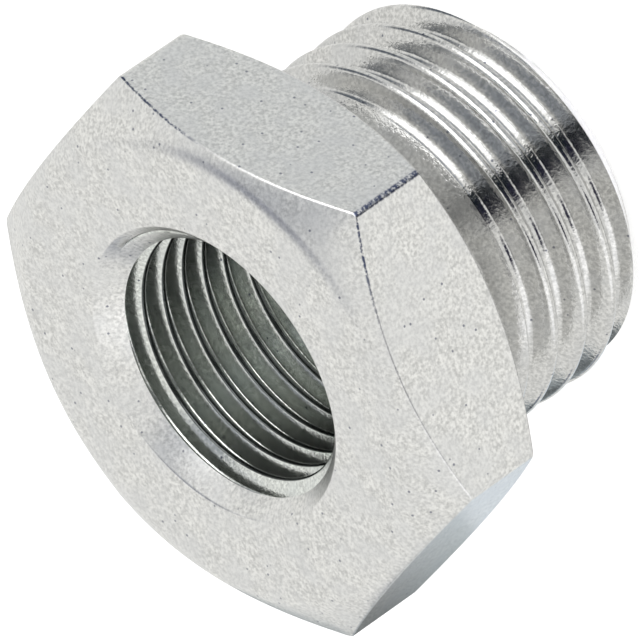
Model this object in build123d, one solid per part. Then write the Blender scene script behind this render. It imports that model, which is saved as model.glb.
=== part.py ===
from build123d import *
from math import radians, sqrt, tan
import os

# Hex bushing: a reducer turned from one length of brass hexagon bar and nickel plated.
# The head takes a 17 mm spanner. The shank carries a G 1/4 parallel pipe thread and the bore,
# open from end to end, a G 1/8 one. Both helical threads are drawn at their crests: the shank
# as the plain cylinder of its outer diameter, the bore as the plain hole of its inner diameter.
# The axis is Z. The shank's end face stands on z = 0 and the head is on top. Sizes are millimetres.

# Head: the face circle lies a little inside the flats, and the cone falls away from it
across_flats = 17.0
corner_rounding = 0.15
head_height = 5.0
face_inset = 0.45
head_cone_angle = 32.0

# Shank, from the head's seat down to its end. The neck's fillet meets the seat just outside the
# thread, so a washer that passes over the thread lies flat on the seat.
shank_length = 8.0
shank_thread_diameter = 13.157
end_chamfer = 0.93
neck_floor_width = 0.2
neck_depth = 0.98
neck_slope_angle = 45.0
washer_clearance = 0.05

# Bore, countersunk at both mouths
bore_thread_diameter = 8.566
head_countersink = 0.867
end_countersink = 0.667
countersink_angle = 45.0

# Heights and radii that follow
overall_height = shank_length + head_height
face_radius = across_flats / 2 - face_inset
shank_radius = shank_thread_diameter / 2
neck_radius = shank_radius - neck_depth
neck_fillet = neck_depth + washer_clearance
bore_radius = bore_thread_diameter / 2


def rise(width, angle):
    """Height of a cone this wide, its wall at this angle to a plane square to the axis."""
    return width * tan(radians(angle))


def turned(outline):
    """Solid of revolution about Z from a closed outline, drawn as (radius, height) in its own plane."""
    return revolve(make_face(Plane.XZ * outline), Axis.Z)


def head():
    """Hexagon bar faced at both ends, its corners turned back to a cone that leaves curved edges."""
    hexagon = RegularPolygon(across_flats / 2, 6, major_radius=False)
    hexagon = fillet(hexagon.vertices(), corner_rounding)
    bar = Pos(0, 0, shank_length) * extrude(hexagon, head_height)
    blank_radius = across_flats / sqrt(3) + corner_rounding
    fall = rise(blank_radius - face_radius, head_cone_angle)
    outline = Polyline(
        (0, shank_length),
        (face_radius, shank_length),
        (blank_radius, shank_length + fall),
        (blank_radius, overall_height - fall),
        (face_radius, overall_height),
        (0, overall_height),
        close=True,
    )
    return bar & turned(outline)


def shank():
    """Threaded shank: chamfered end, crest cylinder, and a neck that flares out into the seat."""
    neck_top = shank_length - neck_fillet
    neck_foot = neck_top - neck_floor_width
    wall = Polyline(
        (0, shank_length),
        (0, 0),
        (shank_radius - end_chamfer, 0),
        (shank_radius, end_chamfer),
        (shank_radius, neck_foot - rise(neck_depth, neck_slope_angle)),
        (neck_radius, neck_foot),
        (neck_radius, neck_top),
    )
    flare = TangentArc((neck_radius, neck_top), (neck_radius + neck_fillet, shank_length), tangent=(0, 1))
    lid = Line(flare @ 1, wall @ 0)
    return turned(wall + flare + lid)


def bore():
    """Through hole with a countersink at each mouth, as the space that is bored out."""
    outline = Polyline(
        (0, 0),
        (bore_radius + end_countersink, 0),
        (bore_radius, rise(end_countersink, countersink_angle)),
        (bore_radius, overall_height - rise(head_countersink, countersink_angle)),
        (bore_radius + head_countersink, overall_height),
        (0, overall_height),
        close=True,
    )
    return turned(outline)


def hex_bushing():
    """The finished bushing, one solid: the head and the shank as one blank, bored right through."""
    return head() + shank() - bore()


os.makedirs("parts", exist_ok=True)
export_step(hex_bushing(), "parts/hex_bushing.step")
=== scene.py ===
from math import cos, pi, radians, sin, sqrt, tan

import bmesh
import bpy
from mathutils import Matrix, Vector


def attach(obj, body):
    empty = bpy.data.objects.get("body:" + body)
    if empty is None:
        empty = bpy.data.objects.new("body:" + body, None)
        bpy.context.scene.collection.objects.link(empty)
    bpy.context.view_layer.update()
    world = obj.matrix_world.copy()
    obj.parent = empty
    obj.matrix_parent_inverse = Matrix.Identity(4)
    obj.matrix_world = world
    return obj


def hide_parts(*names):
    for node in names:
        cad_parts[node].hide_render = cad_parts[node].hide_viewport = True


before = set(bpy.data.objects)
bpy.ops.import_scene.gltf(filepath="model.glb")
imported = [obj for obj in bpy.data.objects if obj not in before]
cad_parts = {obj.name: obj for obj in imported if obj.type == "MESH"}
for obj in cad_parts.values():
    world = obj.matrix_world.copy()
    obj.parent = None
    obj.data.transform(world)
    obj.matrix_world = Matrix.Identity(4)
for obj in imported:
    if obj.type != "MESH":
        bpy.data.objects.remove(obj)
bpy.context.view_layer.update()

# Threaded bushing: the one piece there is, turned from 17 mm brass hexagon bar and nickel plated.
# Its head, threaded shank and threaded bore are each modelled as a closed form, then the shank is
# joined to the head and the bore is taken out of both.
mm = 0.001

# The head is 5 mm of the bar, faced at both ends. Its corners are turned back to a 32 degree cone,
# which leaves a curved edge on every flat, and tumbling has rounded all the edges a little.
across_flats = 17.0 * mm
corner_rounding = 0.25 * mm
head_foot = 8.0 * mm
head_top = 13.0 * mm
face_radius = 8.05 * mm
cone_slope = tan(radians(32.0))
edge_rounding = 0.06 * mm
face_rounding = 0.3 * mm

head = bmesh.new()
bmesh.ops.create_circle(head, cap_ends=False, segments=6, radius=across_flats / sqrt(3))
bmesh.ops.rotate(head, verts=head.verts[:], matrix=Matrix.Rotation(radians(30), 3, "Z"))
bmesh.ops.bevel(head, geom=head.verts[:], affect="VERTICES", offset_type="OFFSET", segments=4,
                offset=corner_rounding * tan(radians(30)), profile=0.5, material=-1)
flats = [edge for edge in head.edges if edge.calc_length() > across_flats / 4]
bmesh.ops.subdivide_edges(head, edges=flats, cuts=24)


def next_ring(form, edges):
    """Draws a closed line of edges out to a second one, and returns that one's vertices and edges."""
    made = bmesh.ops.extrude_edge_only(form, edges=edges)["geom"]
    vertices = [part for part in made if isinstance(part, bmesh.types.BMVert)]
    lines = [part for part in made if isinstance(part, bmesh.types.BMEdge)]
    return vertices, [line for line in lines if all(end in vertices for end in line.verts)]


lower_edge = head.edges[:]
for vertex in head.verts:
    vertex.co.z = head_foot + (vertex.co.xy.length - face_radius) * cone_slope
ring, upper_edge = next_ring(head, lower_edge)
for vertex in ring:
    vertex.co.z = head_top - (vertex.co.xy.length - face_radius) * cone_slope
ring, face_edge = next_ring(head, upper_edge)
for vertex in ring:
    vertex.co = (*(vertex.co.xy.normalized() * face_radius), head_top)
ring, seat_edge = next_ring(head, lower_edge)
for vertex in ring:
    vertex.co = (*(vertex.co.xy.normalized() * face_radius), head_foot)
bmesh.ops.contextual_create(head, geom=face_edge)
bmesh.ops.contextual_create(head, geom=seat_edge)
bmesh.ops.recalc_face_normals(head, faces=head.faces[:])
for edges, rounding, segments in ((lower_edge + upper_edge + seat_edge, edge_rounding, 3),
                                  (face_edge, face_rounding, 5)):
    bmesh.ops.bevel(head, geom=edges, affect="EDGES", offset_type="OFFSET", offset=rounding,
                    segments=segments, profile=0.5, material=-1, loop_slide=True, clamp_overlap=False)
bmesh.ops.recalc_face_normals(head, faces=head.faces[:])


def finished(form, name):
    """Turns a modelled form into an object of that name."""
    mesh = bpy.data.meshes.new(name)
    form.to_mesh(mesh)
    form.free()
    piece = bpy.data.objects.new(name, mesh)
    bpy.context.scene.collection.objects.link(piece)
    return piece


bushing = finished(head, "threaded_bushing")

# The shank is 8 mm long with a G 1/4 thread: right hand, 19 to the inch, 55 degrees between its flanks.
# Its crests are rounded by the usual share of the pitch and its roots by more. Its end is chamfered.
# Under the head the thread runs out into a neck that flares into the seat.
usual_rounding = 0.137329
wide_rounding = 0.22
shank_radius = 6.5785 * mm
shank_pitch = 1.337 * mm
shank_crest_rounding = usual_rounding * shank_pitch
shank_root_rounding = wide_rounding * shank_pitch
shank_crest_height = 6.2663 * mm
end_chamfer = 0.93 * mm
end_rounding = 0.06 * mm
neck_radius = 5.5985 * mm
neck_foot = 6.77 * mm
seat_radius = 6.6285 * mm
flank_angle = radians(27.5)
tool_overshoot = 1.0 * mm
tool_clearance = 0.2 * mm


def turned(outline, name, rounded, rounding):
    """Turns an outline of (radius, height) points about Z, after its point of that number is rounded."""
    form = bmesh.new()
    points = [form.verts.new((radius, 0, height)) for radius, height in outline]
    for first, second in zip(points, points[1:]):
        form.edges.new((first, second))
    bmesh.ops.bevel(form, geom=[points[rounded]], affect="VERTICES", offset_type="OFFSET",
                    offset=rounding, segments=4, profile=0.5, material=-1)
    bmesh.ops.spin(form, geom=form.verts[:] + form.edges[:], cent=(0, 0, 0), axis=(0, 0, 1),
                   dvec=(0, 0, 0), angle=2 * pi, steps=180, use_merge=True,
                   use_normal_flip=False, use_duplicate=False)
    bmesh.ops.remove_doubles(form, verts=form.verts[:], dist=0.00001 * mm)
    bmesh.ops.recalc_face_normals(form, faces=form.faces[:])
    return finished(form, name)


def thread_depth(pitch, crest_rounding, root_rounding):
    """How deep a thread is from its rounded crests to its rounded roots."""
    sharp_depth = pitch / (2 * tan(flank_angle))
    return sharp_depth - (crest_rounding + root_rounding) * (1 / sin(flank_angle) - 1)


def threaded_rod(name, crest_radius, pitch, crest_rounding, root_rounding, crest_height,
                 lowest, highest, steps):
    """A closed rod with a right-hand thread, one of whose crests passes +X at crest_height."""
    root_radius = crest_radius - thread_depth(pitch, crest_rounding, root_rounding)
    first = crest_height - pitch * (int((crest_height - lowest) / pitch) + 2)
    turns = int((highest - first) / pitch) + 2
    form = bmesh.new()
    ends = []
    for radius, height, rounding, side in (
            (root_radius + root_rounding, first - pitch / 2, root_rounding, -1),
            (crest_radius - crest_rounding, first, crest_rounding, 1)):
        across = radius + side * rounding * sin(flank_angle)
        start = form.verts.new((across, 0, height - rounding * cos(flank_angle)))
        arc = bmesh.ops.spin(form, geom=[start], cent=(radius, 0, height), axis=(0, -side, 0),
                             dvec=(0, 0, 0), angle=pi - 2 * flank_angle, steps=8, use_merge=False,
                             use_normal_flip=False, use_duplicate=False)
        ends.append((start, arc["geom_last"][0]))
    lower_flank = form.edges.new((ends[0][1], ends[1][0]))
    next_root = form.verts.new(ends[0][0].co + Vector((0, 0, pitch)))
    upper_flank = form.edges.new((ends[1][1], next_root))
    bmesh.ops.subdivide_edges(form, edges=[lower_flank, upper_flank], cuts=2)
    bmesh.ops.spin(form, geom=form.verts[:] + form.edges[:], cent=(0, 0, 0), axis=(0, 0, 1),
                   dvec=(0, 0, pitch / steps), angle=2 * pi, steps=steps, use_merge=False,
                   use_normal_flip=False, use_duplicate=False)
    one_turn = form.verts[:] + form.edges[:] + form.faces[:]
    for turn in range(1, turns):
        copy = bmesh.ops.duplicate(form, geom=one_turn)["geom"]
        copied = [part for part in copy if isinstance(part, bmesh.types.BMVert)]
        bmesh.ops.translate(form, verts=copied, vec=(0, 0, pitch * turn))
    bmesh.ops.remove_doubles(form, verts=form.verts[:], dist=0.001 * mm)
    for height, side in ((lowest, -1), (highest, 1)):
        cut = bmesh.ops.bisect_plane(form, geom=form.verts[:] + form.edges[:] + form.faces[:],
                                     dist=0.000001 * mm, plane_co=(0, 0, height), plane_no=(0, 0, side),
                                     clear_outer=True, clear_inner=False)
        rim = [part for part in cut["geom_cut"] if isinstance(part, bmesh.types.BMEdge)]
        bmesh.ops.contextual_create(form, geom=rim)
    bmesh.ops.recalc_face_normals(form, faces=form.faces[:])
    return finished(form, name)


def worked(piece, tool, operation):
    """Cuts, keeps or adds the tool's form on the piece, then puts the tool away."""
    step = piece.modifiers.new(operation, "BOOLEAN")
    step.operation = operation
    step.object = tool
    step.solver = "MANIFOLD"
    evaluated = piece.evaluated_get(bpy.context.evaluated_depsgraph_get())
    result = bpy.data.meshes.new_from_object(evaluated)
    piece.modifiers.clear()
    blank, piece.data = piece.data, result
    bpy.data.meshes.remove(blank)
    bpy.data.objects.remove(tool)


crest_room = shank_radius + tool_clearance
neck_flare = seat_radius - neck_radius
flare = [(seat_radius - neck_flare * cos(radians(angle)),
          head_foot - neck_flare * (1 - sin(radians(angle)))) for angle in range(0, 91, 10)]
blank = turned([(0, 0), (shank_radius - end_chamfer, 0), (crest_room, end_chamfer + tool_clearance),
                (crest_room, neck_foot - (crest_room - neck_radius)), (neck_radius, neck_foot), *flare,
                (seat_radius, head_foot + tool_overshoot), (0, head_foot + tool_overshoot)],
               "shank_blank", rounded=1, rounding=end_rounding)
shank = threaded_rod("shank", shank_radius, shank_pitch, shank_crest_rounding, shank_root_rounding,
                     shank_crest_height, lowest=-tool_overshoot,
                     highest=head_foot + 1.5 * tool_overshoot, steps=144)
worked(shank, blank, "INTERSECT")
worked(bushing, shank, "UNION")

# The bore runs right through with a G 1/8 thread: right hand, 28 to the inch, crests at 8.566 mm.
# It is countersunk at 45 degrees at both mouths. The rim at the head is a little rounded, and past it
# the cutting form rises off the face by a hair, so that it leaves the face as it is.
bore_radius = 4.283 * mm
bore_pitch = 0.907 * mm
bore_rounding = usual_rounding * bore_pitch
bore_root_height = 9.0583 * mm
head_rim_radius = 5.15 * mm
end_rim_radius = 4.95 * mm
rim_rounding = 0.06 * mm
countersink_bottom = 4.2 * mm
lip_width = 0.3 * mm
lip_rise = 0.003 * mm

bore_depth = thread_depth(bore_pitch, bore_rounding, bore_rounding)
bore = threaded_rod("bore", bore_radius + bore_depth, bore_pitch, bore_rounding, bore_rounding,
                    bore_root_height, lowest=-tool_overshoot, highest=head_top + tool_overshoot, steps=120)
worked(bushing, bore, "DIFFERENCE")
mouths = turned([(0, -tool_overshoot), (end_rim_radius + tool_overshoot, -tool_overshoot),
                 (countersink_bottom, end_rim_radius - countersink_bottom),
                 (countersink_bottom, head_top - (head_rim_radius - countersink_bottom)),
                 (head_rim_radius, head_top), (head_rim_radius + lip_width, head_top + lip_rise),
                 (head_rim_radius + lip_width, head_top + tool_overshoot), (0, head_top + tool_overshoot)],
                "mouths", rounded=4, rounding=rim_rounding)
worked(bushing, mouths, "DIFFERENCE")
bushing.data.polygons.foreach_set("use_smooth", [True] * len(bushing.data.polygons))
bushing.data.set_sharp_from_angle(angle=radians(35))

weighting = bushing.modifiers.new("flat_sides_stay_flat", "WEIGHTED_NORMAL")
weighting.keep_sharp = True
weighting.weight = 100

# Its plate is matt nickel with a fine grey grain, soft blotches and scattered dark specks. The threads
# are glossier, and the bore's crests are tinted near black, a painted shade. A painted dark reflection
# sits in broken lines along the head's front corner and along two of its curved edges.
grain_light = (0.93, 0.925, 0.905, 1)
grain_dark = (0.6, 0.6, 0.59, 1)
blotch_colour = (0.74, 0.745, 0.75, 1)
speck_colour = (0.2, 0.21, 0.26, 1)
# Navy colour of the painted dark reflection along the head's corner and edges.
dark_reflection_colour = (0.12, 0.14, 0.22, 1)
head_shade = (1, 1, 1, 1)
thread_shade = (0.86, 0.86, 0.86, 1)
bore_shade = (0.96, 0.99, 0.97, 1)
# Near-black tint for the bore's crests, a painted shade.
crest_painted_shade = (0.12, 0.13, 0.13, 1)
grains_per_metre = 8500.0
grain_spread = (0.34, 0.66)
blotches_per_metre = 900.0
blotch_spread = (0.4, 0.65)
blotch_strength = 0.5
specks_per_metre = 1900.0
speck_edge = (0.1, 0.06)
speck_strength = 0.9
head_roughness = 0.3
shank_roughness = 0.11
bore_roughness = 0.18
head_relief = 0.004 * mm
thread_relief = 0.007 * mm

nickel = bpy.data.materials.new("matt_nickel_plate")
nickel.use_nodes = True
plate = nickel.node_tree


def node(tree, kind, inputs, **settings):
    """Adds a node to a tree; each input gets a number, a colour or another node's output."""
    made = tree.nodes.new("ShaderNode" + kind)
    for name, value in settings.items():
        setattr(made, name, value)
    for name, value in inputs.items():
        if isinstance(value, bpy.types.NodeSocket):
            tree.links.new(value, made.inputs[name])
        else:
            made.inputs[name].default_value = value
    return made


def ramp(tree, value, start, end, low=0.0, high=1.0, **settings):
    """Carries a value over from the range start to end to the range low to high."""
    return node(tree, "MapRange", {"Value": value, "From Min": start, "From Max": end,
                                   "To Min": low, "To Max": high}, **settings).outputs["Result"]


def number(tree, operation, *values):
    """Works out one number from others."""
    return node(tree, "Math", dict(enumerate(values)), operation=operation).outputs[0]


def mixed(tree, share, under, over, **settings):
    """Mixes one colour over another by a share."""
    return node(tree, "Mix", {0: share, 6: under, 7: over}, data_type="RGBA", **settings).outputs[2]


def distance_along(tree, vector, direction):
    """How far a place lies along a direction."""
    return node(tree, "VectorMath", {0: vector, 1: direction}, operation="DOT_PRODUCT").outputs["Value"]


place = node(plate, "TexCoord", {}).outputs["Object"]
grain = node(plate, "TexNoise", {"Vector": place, "Scale": grains_per_metre, "Detail": 2.0,
                                 "Roughness": 0.6}).outputs[0]
blotches = node(plate, "TexNoise", {"Vector": place, "Scale": blotches_per_metre, "Detail": 2.0,
                                    "Roughness": 0.5}).outputs[0]
specks = node(plate, "TexVoronoi", {"Vector": place, "Scale": specks_per_metre,
                                    "Randomness": 1.0}).outputs["Distance"]
colour = mixed(plate, ramp(plate, grain, *grain_spread), grain_dark, grain_light)
blotch_share = ramp(plate, blotches, *blotch_spread, high=blotch_strength)
colour = mixed(plate, blotch_share, colour, blotch_colour)
speck_share = ramp(plate, specks, *speck_edge, high=speck_strength, interpolation_type="SMOOTHSTEP")
colour = mixed(plate, speck_share, colour, speck_colour)

# Where the painted dark reflection sits: on the front corner, and where the cone meets the flats on both
# sides of it. On each flat it thins out along the edge, towards -Y on the side flat and towards -X on the
# front one.
# Each pair of distances is where it starts and where it is full.
front_corner = (0.5, -0.866, 0)
side_flat = (0.866, -0.5, 0)
front_flat = (0, -1, 0)
dark_reflection_at_corner = (9.745 * mm, 9.765 * mm)
dark_reflection_at_flat = (across_flats / 2 - 0.05 * mm, across_flats / 2 - 0.035 * mm)
dark_reflection_along_side = (-3.6 * mm, -2.6 * mm)
dark_reflection_along_front = (1.0 * mm, 3.4 * mm)
dark_reflection_in_grain = (0.6, 0.45)

axes = node(plate, "SeparateXYZ", {0: place}).outputs
level = node(plate, "CombineXYZ", {"X": axes["X"], "Y": axes["Y"]}).outputs[0]
from_axis = node(plate, "VectorMath", {0: level}, operation="LENGTH").outputs["Value"]
cone_height = number(plate, "ADD", axes["Z"], number(plate, "MULTIPLY", from_axis, cone_slope))
cone_top = head_top + face_radius * cone_slope
on_cone = ramp(plate, cone_height, cone_top - 0.06 * mm, cone_top - 0.04 * mm)


def beyond(direction, distances):
    """Share that grows from nothing to one between two distances along a direction."""
    return ramp(plate, distance_along(plate, place, direction), *distances)


in_corner = beyond(front_corner, dark_reflection_at_corner)
side_edge = number(plate, "MULTIPLY", beyond(side_flat, dark_reflection_at_flat),
                   beyond((0, 1, 0), dark_reflection_along_side))
front_edge = number(plate, "MULTIPLY", beyond(front_flat, dark_reflection_at_flat),
                    beyond((1, 0, 0), dark_reflection_along_front))
on_edge = number(plate, "MULTIPLY", number(plate, "MAXIMUM", side_edge, front_edge), on_cone)
# Painted dark reflection: a dotted navy line mixed into the colour along the head's corner and edges.
painted_dark_reflection = number(plate, "MULTIPLY", number(plate, "MAXIMUM", in_corner, on_edge),
               ramp(plate, grain, *dark_reflection_in_grain))
colour = mixed(plate, painted_dark_reflection, colour, dark_reflection_colour)

# Where the threads are: inside the bore below its countersink, and below the head.
bore_reach = 4.9 * mm
skin = 0.01 * mm
crest_ends = bore_radius + 0.052 * mm
crest_is_full = bore_radius + 0.032 * mm

mouth_cone = head_top - head_rim_radius - skin
below_mouth = number(plate, "LESS_THAN", number(plate, "SUBTRACT", axes["Z"], from_axis), mouth_cone)
in_bore = number(plate, "MINIMUM", number(plate, "LESS_THAN", from_axis, bore_reach), below_mouth)
on_shank = number(plate, "LESS_THAN", axes["Z"], head_foot - skin)
on_thread = number(plate, "MAXIMUM", in_bore, on_shank)
on_crest = ramp(plate, from_axis, crest_ends, crest_is_full)
shade = mixed(plate, on_thread, head_shade, thread_shade)
shade = mixed(plate, in_bore, shade, bore_shade)
# Painted shade: the bore's crests are tinted near black.
shade = mixed(plate, on_crest, shade, crest_painted_shade)
colour = mixed(plate, 1.0, colour, shade, blend_type="MULTIPLY")

thread_roughness = ramp(plate, in_bore, 0.0, 1.0, shank_roughness, bore_roughness)
roughness = ramp(plate, on_thread, 0.0, 1.0, head_roughness, thread_roughness)
relief_depth = ramp(plate, on_thread, 0.0, 1.0, head_relief, thread_relief)
relief = node(plate, "Bump", {"Height": grain, "Distance": relief_depth})

shader = plate.nodes["Principled BSDF"]
shader.inputs["Metallic"].default_value = 1.0
plate.links.new(colour, shader.inputs["Base Color"])
plate.links.new(roughness, shader.inputs["Roughness"])
plate.links.new(relief.outputs["Normal"], shader.inputs["Normal"])
bushing.data.materials.clear()
bushing.data.materials.append(nickel)

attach(bushing, "root")
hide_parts("hex_bushing")

# Floor: a plain white sheet the bushing stands on. It keeps the bushing's soft shadow, and a little
# light of its own, which only the camera sees, brings it up to the white of the background.
floor_radius = 2.0
floor_white = (0.9, 0.9, 0.9, 1)
floor_glow = 0.55
pure_white = (1, 1, 1, 1)

floor_form = bmesh.new()
bmesh.ops.create_circle(floor_form, cap_ends=True, segments=64, radius=floor_radius)
floor = finished(floor_form, "floor")
floor.visible_glossy = False


def painted(piece, name, colour, glow_colour):
    """Gives a piece a matt paint that can glow, and returns the paint's nodes and its shader."""
    paint = bpy.data.materials.new(name)
    paint.use_nodes = True
    matt = paint.node_tree.nodes["Principled BSDF"]
    for socket, value in (("Base Color", colour), ("Roughness", 1.0), ("Specular IOR Level", 0.0),
                          ("Emission Color", glow_colour)):
        matt.inputs[socket].default_value = value
    piece.data.materials.append(paint)
    return paint.node_tree, matt


floor_paint, floor_shader = painted(floor, "white_floor", floor_white, pure_white)
seen = node(floor_paint, "LightPath", {}).outputs["Is Camera Ray"]
floor_paint.links.new(number(floor_paint, "MULTIPLY", seen, floor_glow),
                      floor_shader.inputs["Emission Strength"])

# Grey card: it stands just past the head's lowest corner in the picture, where the last flat mirrors it.
# Its glow fades from one side of the card towards the other and comes back at that side. Each of the
# two stretches runs from a first to a second distance, and from a first to a second strength.
card_half_side = 5.0 * mm
card_facing = Vector((0.5175, -0.6425, 0.565))
card_middle = Vector((-14.2, 6.0, 6.8)) * mm
card_grey = (0.05, 0.05, 0.05, 1)
card_glow_colour = (0.83, 0.94, 1.0, 1)
card_across = (-0.5, 0.866, 0.0)
glow_fades = (8.6 * mm, 11.6 * mm, 0.72, 0.12)
glow_returns = (11.9 * mm, 13.0 * mm, 0.0, 0.4)

card_form = bmesh.new()
bmesh.ops.create_grid(card_form, x_segments=1, y_segments=1, size=card_half_side)
bmesh.ops.rotate(card_form, verts=card_form.verts[:],
                 matrix=card_facing.to_track_quat("Z", "Y").to_matrix())
bmesh.ops.translate(card_form, verts=card_form.verts[:], vec=card_middle)
grey_card = finished(card_form, "grey_card")
grey_card.visible_camera = False
grey_card.visible_diffuse = False
grey_card.visible_shadow = False
grey_paint, grey_shader = painted(grey_card, "grey_card", card_grey, card_glow_colour)
place_on_card = node(grey_paint, "TexCoord", {}).outputs["Object"]
across_card = distance_along(grey_paint, place_on_card, card_across)
card_glow = number(grey_paint, "MAXIMUM", ramp(grey_paint, across_card, *glow_fades),
                   ramp(grey_paint, across_card, *glow_returns))
grey_paint.links.new(card_glow, grey_shader.inputs["Emission Strength"])

# Studio: the bushing is photographed in a pale tent, through a slit in front of the camera. Soft
# boxes and dark cards round it give the plate its light and dark bands. Directions are degrees:
# azimuth anticlockwise from +X, height above the level.
tent_colour = (0.9, 0.9, 0.88, 1)

world = bpy.data.worlds.new("studio")
bpy.context.scene.world = world
world.use_nodes = True
world.cycles.sampling_method = "MANUAL"
world.cycles.sample_map_resolution = 512
sky = world.node_tree

card_group = bpy.data.node_groups.new("card", "ShaderNodeTree")
for socket_name, socket_type in (("Direction", "Vector"), ("Under", "Color"), ("Azimuth", "Float"),
                                 ("Height", "Float"), ("Half width", "Float"), ("Half tall", "Float"),
                                 ("Softness", "Float"), ("Card", "Color")):
    card_group.interface.new_socket(name=socket_name, in_out="INPUT",
                                    socket_type="NodeSocket" + socket_type)
card_group.interface.new_socket(name="Color", in_out="OUTPUT", socket_type="NodeSocketColor")
given = card_group.nodes.new("NodeGroupInput").outputs
handed_on = card_group.nodes.new("NodeGroupOutput").inputs


def reach(distance, half_size):
    """One inside the card's half size, nothing outside it, and soft between."""
    return ramp(card_group, number(card_group, "ABSOLUTE", distance),
                number(card_group, "ADD", half_size, given["Softness"]),
                number(card_group, "SUBTRACT", half_size, given["Softness"]),
                interpolation_type="SMOOTHSTEP")


towards = node(card_group, "SeparateXYZ", {0: given["Direction"]}).outputs
azimuth = number(card_group, "DEGREES", number(card_group, "ARCTAN2", towards["Y"], towards["X"]))
height = number(card_group, "DEGREES", number(card_group, "ARCSINE", towards["Z"]))
turned_by = number(card_group, "SUBTRACT", azimuth, given["Azimuth"])
aside = number(card_group, "WRAP", turned_by, 180.0, -180.0)
above = number(card_group, "SUBTRACT", height, given["Height"])
on_card = number(card_group, "MULTIPLY", reach(aside, given["Half width"]), reach(above, given["Half tall"]))
card_group.links.new(mixed(card_group, on_card, given["Under"], given["Card"]), handed_on["Color"])

direction = node(sky, "TexCoord", {}).outputs["Object"]
studio_colour = tent_colour


def hang_card(under, name, azimuth, height, half_width, half_tall, softness, colour):
    """Hangs one soft-edged card in front of what is already there."""
    return node(sky, "Group", {"Direction": direction, "Under": under, "Azimuth": azimuth,
                               "Height": height, "Half width": half_width, "Half tall": half_tall,
                               "Softness": softness, "Card": (*colour, 1)},
                node_tree=card_group, label=name).outputs["Color"]


for card in (
        ("camera and its stand, dark", -79, -4, 10, 36, 5, (0.02, 0.02, 0.04)),
        ("window right of the camera", -30, 18, 26, 24, 10, (2.6, 2.6, 2.6)),
        ("window left of the camera", -142, 20, 20, 24, 10, (1.3, 1.3, 1.3)),
        ("dark strip left of the camera", -110, 16, 9, 14, 5, (0.02, 0.02, 0.05)),
        ("dark edge high to the right of the camera", -40, 54, 20, 6, 4, (0.08, 0.11, 0.18)),
        ("dark card far right", 22, 8, 16, 18, 10, (0.15, 0.17, 0.2)),
        ("blue card behind", 154, 5, 9, 9, 4, (0.2, 0.23, 0.3)),
        ("grey card low right", -32, -33, 36, 10, 8, (0.4, 0.43, 0.48)),
        ("bright card low left", -118, -47, 22, 9, 5, (1.13, 1.13, 1.1)),
        ("pale card low on the far right", 22, -36, 15, 9, 5, (0.76, 0.78, 0.77)),
        ("bright card low behind", 108, -54, 21, 8, 6, (1.35, 1.35, 1.4)),
        ("bluish card low behind", 140, -36, 12, 9, 6, (0.75, 0.85, 0.95)),
        ("dim ground underneath", 0, -74, 180, 18, 5, (0.5, 0.5, 0.49)),
        ("dim card high on the far right", 16, 67, 30, 12, 7, (0.38, 0.4, 0.44)),
        ("dark card high behind", 79, 66, 22, 14, 8, (0.06, 0.08, 0.16))):
    studio_colour = hang_card(studio_colour, *card)

# The dark slit in front of the camera is a band of the sky about 5 degrees to each side of one upright
# plane. It reaches 80 degrees up and down from its middle, which is well below the level.
slit_azimuth = radians(-72.0)
slit_middle = radians(-35.0)
slit_half_width = radians(4.8)
slit_softness = radians(0.8)
slit_half_length = radians(80.0)
slit_end_softness = radians(6.0)
slit_colour = (0.01, 0.015, 0.02, 1)

off_plane = distance_along(sky, direction, (-sin(slit_azimuth), cos(slit_azimuth), 0))
within_width = ramp(sky, number(sky, "ABSOLUTE", off_plane), sin(slit_half_width + slit_softness),
                    sin(slit_half_width - slit_softness), interpolation_type="SMOOTHSTEP")
to_middle = distance_along(sky, direction, (cos(slit_azimuth) * cos(slit_middle),
                                            sin(slit_azimuth) * cos(slit_middle), sin(slit_middle)))
within_length = ramp(sky, to_middle, cos(slit_half_length + slit_end_softness),
                     cos(slit_half_length - slit_end_softness), interpolation_type="SMOOTHSTEP")
in_slit = number(sky, "MULTIPLY", within_width, within_length)
studio_colour = mixed(sky, in_slit, studio_colour, slit_colour)

# The camera itself sees only white behind the bushing.
seen = node(sky, "LightPath", {}).outputs["Is Camera Ray"]
background = sky.nodes["Background"]
background.inputs["Strength"].default_value = 1.0
sky.links.new(mixed(sky, seen, studio_colour, pure_white), background.inputs["Color"])

# Camera: half a metre off with a very long lens, it looks down on the head at 34 degrees. It is rolled,
# so that the bushing, which stands upright here, lies turned in the picture.
camera_distance = 500 * mm
camera_azimuth = radians(-68.8524)
camera_height = radians(34.4182)
camera_roll = radians(-124.6835)
looked_at = Vector((0.2793, -2.1202, 9.9670)) * mm

camera_data = bpy.data.cameras.new("camera")
camera_data.lens = 915.1
camera_data.sensor_width = 36.0
camera_data.clip_start = 0.05
camera_data.clip_end = 5.0
camera = bpy.data.objects.new("camera", camera_data)
bpy.context.scene.collection.objects.link(camera)
turn = (Matrix.Rotation(camera_azimuth + pi / 2, 4, "Z") @ Matrix.Rotation(pi / 2 - camera_height, 4, "X")
        @ Matrix.Rotation(camera_roll, 4, "Z"))
stand = looked_at + turn.to_3x3() @ Vector((0, 0, camera_distance))
camera.matrix_world = Matrix.Translation(stand) @ turn
bpy.context.scene.camera = camera
bpy.context.scene.view_settings.view_transform = "Standard"
